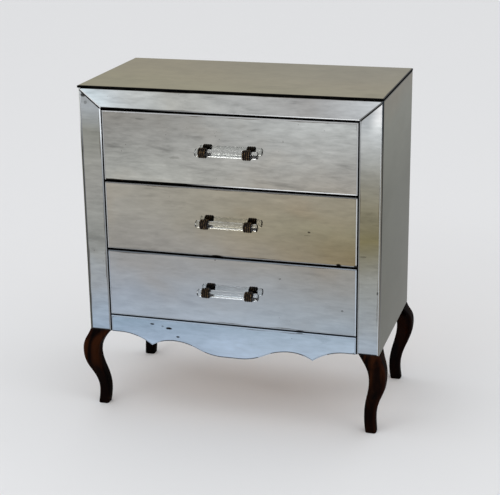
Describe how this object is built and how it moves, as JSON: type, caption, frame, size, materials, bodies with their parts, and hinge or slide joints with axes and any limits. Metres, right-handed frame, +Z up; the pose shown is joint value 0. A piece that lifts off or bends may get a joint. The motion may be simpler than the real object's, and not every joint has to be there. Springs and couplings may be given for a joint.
{
  "type": "chest of drawers",
  "caption": "Straight-sided chest of drawers clad in aged mirror glass, with glass-rod handles, a serpentine apron and short dark cabriole legs; the drawers slide out.",
  "frame": {"origin": "on the floor, under the middle of the chest's whole box", "axes": "+X to the right as the chest is faced, +Y to its back, +Z up; the drawers come out along -Y"},
  "size_m": [0.804, 0.447, 0.861],
  "materials": {
    "aged_mirror": "silvered glass, foxed and smoky with age, polished arrises",
    "clear_glass": "clear polished glass rod",
    "dark_brass": "patinated, worn gold on the ribs",
    "polished_dark_wood": "dark red-brown French polish",
    "blackened_wood": "black stain, matt",
    "drawer_wood": "planed, unpolished",
    "plywood": "thin ply, aged",
    "steel": "dull plated steel"
  },
  "bodies": {
    "carcass": {"apron_board": "blackened_wood", "apron_mirror": "aged_mirror", "back_panel": "plywood", "bottom_board": "plywood", "bottom_rail": "blackened_wood", "corner_blocks": "drawer_wood", "front_left_leg": "polished_dark_wood", "front_right_leg": "polished_dark_wood", "kickers": "drawer_wood", "left_side_board": "blackened_wood", "left_side_mirror": "aged_mirror", "left_stile": "blackened_wood", "left_stile_mirror": "aged_mirror", "leg_bolts": "steel", "lower_drawer_rail": "blackened_wood", "lower_runners": "drawer_wood", "middle_runners": "drawer_wood", "rear_left_leg": "polished_dark_wood", "rear_right_leg": "polished_dark_wood", "right_side_board": "blackened_wood", "right_side_mirror": "aged_mirror", "right_stile": "blackened_wood", "right_stile_mirror": "aged_mirror", "top_board": "blackened_wood", "top_mirror": "aged_mirror", "top_rail": "blackened_wood", "top_rail_mirror": "aged_mirror", "upper_drawer_rail": "blackened_wood", "upper_runners": "drawer_wood"},
    "upper_drawer": {"upper_back": "drawer_wood", "upper_bottom": "plywood", "upper_front_board": "drawer_wood", "upper_glass_rod": "clear_glass", "upper_handle_nuts": "steel", "upper_left_bracket": "dark_brass", "upper_left_side": "drawer_wood", "upper_mirror": "aged_mirror", "upper_right_bracket": "dark_brass", "upper_right_side": "drawer_wood"},
    "middle_drawer": {"middle_back": "drawer_wood", "middle_bottom": "plywood", "middle_front_board": "drawer_wood", "middle_glass_rod": "clear_glass", "middle_handle_nuts": "steel", "middle_left_bracket": "dark_brass", "middle_left_side": "drawer_wood", "middle_mirror": "aged_mirror", "middle_right_bracket": "dark_brass", "middle_right_side": "drawer_wood"},
    "lower_drawer": {"lower_back": "drawer_wood", "lower_bottom": "plywood", "lower_front_board": "drawer_wood", "lower_glass_rod": "clear_glass", "lower_handle_nuts": "steel", "lower_left_bracket": "dark_brass", "lower_left_side": "drawer_wood", "lower_mirror": "aged_mirror", "lower_right_bracket": "dark_brass", "lower_right_side": "drawer_wood"}
  },
  "joints": [
    {"name": "upper_drawer_slide", "type": "slide", "parent": "carcass", "child": "upper_drawer", "axis": [0, -1, 0], "range_m": [0, 0.28]},
    {"name": "middle_drawer_slide", "type": "slide", "parent": "carcass", "child": "middle_drawer", "axis": [0, -1, 0], "range_m": [0, 0.28]},
    {"name": "lower_drawer_slide", "type": "slide", "parent": "carcass", "child": "lower_drawer", "axis": [0, -1, 0], "range_m": [0, 0.28]}
  ]
}
